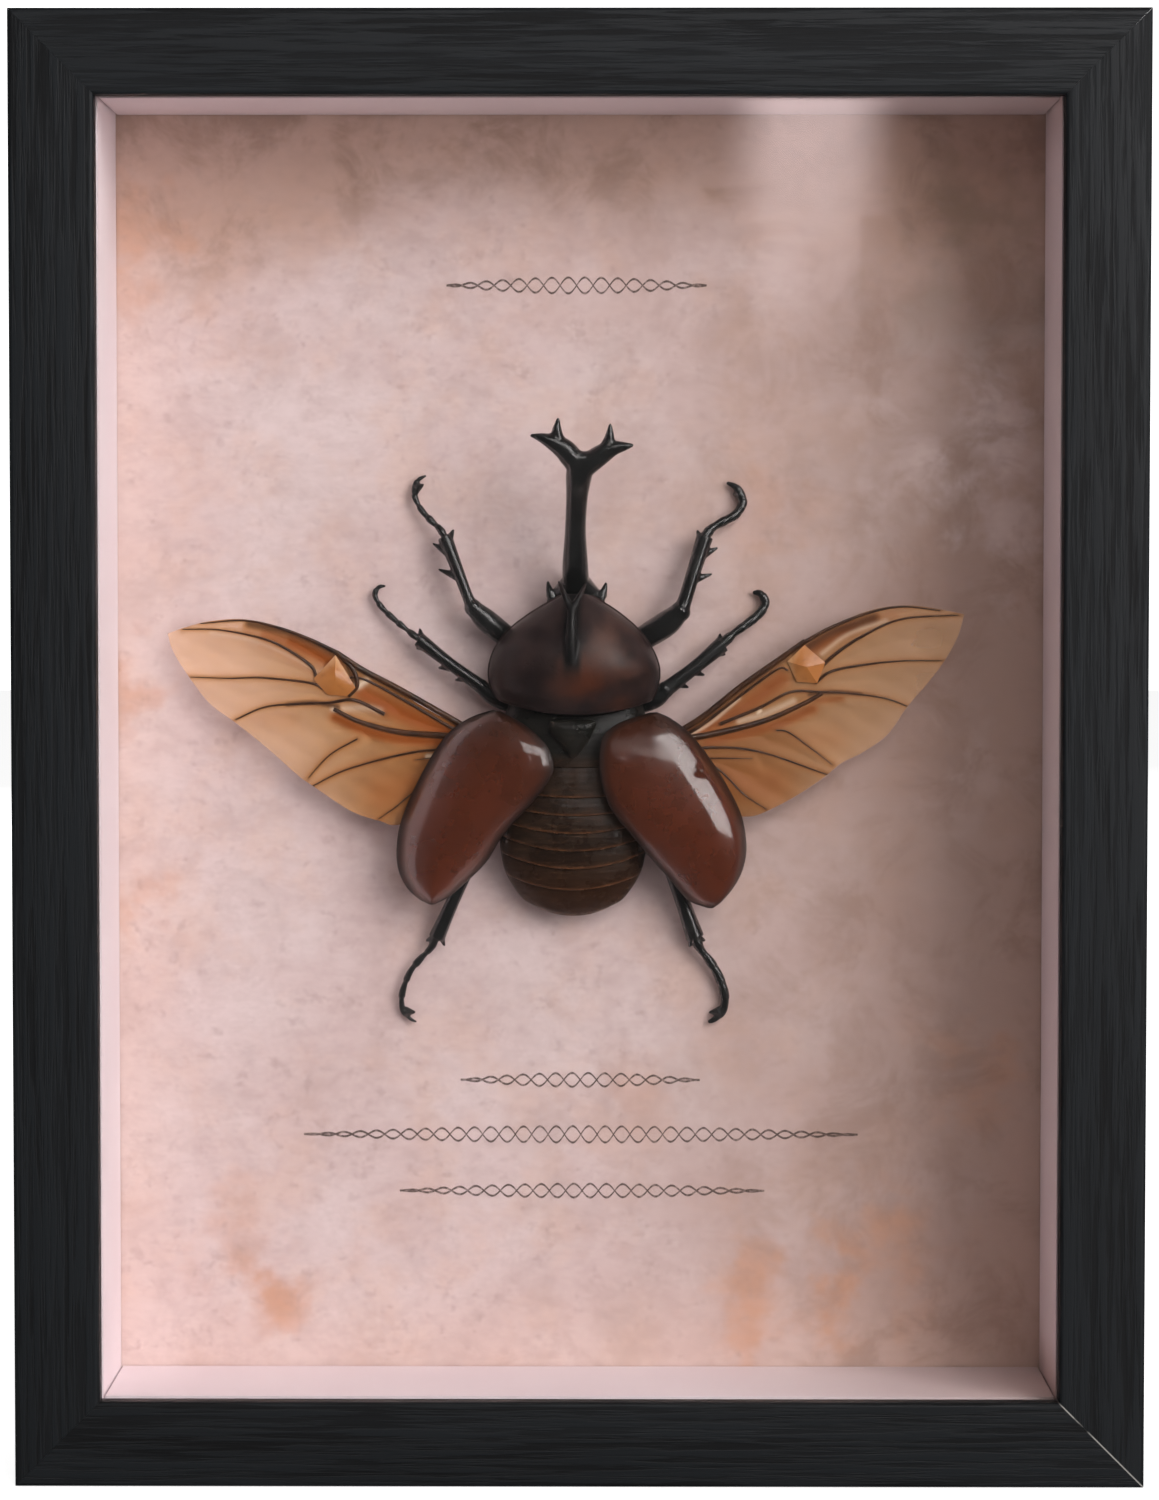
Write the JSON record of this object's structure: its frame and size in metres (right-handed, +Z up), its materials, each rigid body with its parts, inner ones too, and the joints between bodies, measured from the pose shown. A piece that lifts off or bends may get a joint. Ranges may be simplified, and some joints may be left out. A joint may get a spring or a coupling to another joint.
{
  "type": "insect display frame",
  "caption": "Deep black wooden box frame with glass, a white inner liner and a spread horned beetle glued to an aged card; turn buttons hold the back board.",
  "frame": {"origin": "middle of the bottom rail's underside, which it stands on", "axes": "+Z up the case, -Y out of its glass front, +X to the right seen from the front"},
  "size_m": [0.1722, 0.0369, 0.2242],
  "materials": {
    "black_wood": "black stained open grain, satin",
    "clear_glass": "clear, polished",
    "white_liner": "matt white covered board",
    "aged_card": "matt pinkish paper, mottled brown",
    "hardboard": "plain pressed board",
    "zinc_steel": "zinc plated",
    "black_chitin": "glossy black shell",
    "dark_chitin": "glossy brown black shell",
    "red_chitin": "glossy red brown shell",
    "soft_chitin": "satin brown shell",
    "wing_membrane": "amber translucent film with dark veins"
  },
  "bodies": {
    "root": {"rail_left": "black_wood", "rail_right": "black_wood", "rail_bottom": "black_wood", "rail_top": "black_wood", "glass": "clear_glass", "liner_left": "white_liner", "liner_right": "white_liner", "liner_bottom": "white_liner", "liner_top": "white_liner", "backing_card": "aged_card", "back_board": "hardboard", "sawtooth_hanger": "zinc_steel", "nail_left": "zinc_steel", "nail_right": "zinc_steel", "screw_left_lower": "zinc_steel", "screw_left_upper": "zinc_steel", "screw_right_lower": "zinc_steel", "screw_right_upper": "zinc_steel", "head_and_horn": "black_chitin", "pronotum": "dark_chitin", "hind_body": "soft_chitin", "leg_front_left": "black_chitin", "leg_front_right": "black_chitin", "leg_middle_left": "black_chitin", "leg_middle_right": "black_chitin", "leg_hind_left": "black_chitin", "leg_hind_right": "black_chitin", "wing_case_left": "red_chitin", "wing_case_right": "red_chitin", "hind_wing_left": "wing_membrane", "hind_wing_right": "wing_membrane"},
    "turn_button_left_lower": {"turn_button_left_lower": "zinc_steel"},
    "turn_button_left_upper": {"turn_button_left_upper": "zinc_steel"},
    "turn_button_right_lower": {"turn_button_right_lower": "zinc_steel"},
    "turn_button_right_upper": {"turn_button_right_upper": "zinc_steel"}
  },
  "joints": [
    {"name": "left_lower_turn", "type": "hinge", "parent": "root", "child": "turn_button_left_lower", "pos_m": [-0.08145, 0.0178, 0.06], "axis": [0, -1, 0], "continuous": true},
    {"name": "left_upper_turn", "type": "hinge", "parent": "root", "child": "turn_button_left_upper", "pos_m": [-0.08145, 0.0178, 0.164], "axis": [0, -1, 0], "continuous": true},
    {"name": "right_lower_turn", "type": "hinge", "parent": "root", "child": "turn_button_right_lower", "pos_m": [0.08145, 0.0178, 0.06], "axis": [0, 1, 0], "continuous": true},
    {"name": "right_upper_turn", "type": "hinge", "parent": "root", "child": "turn_button_right_upper", "pos_m": [0.08145, 0.0178, 0.164], "axis": [0, 1, 0], "continuous": true}
  ]
}
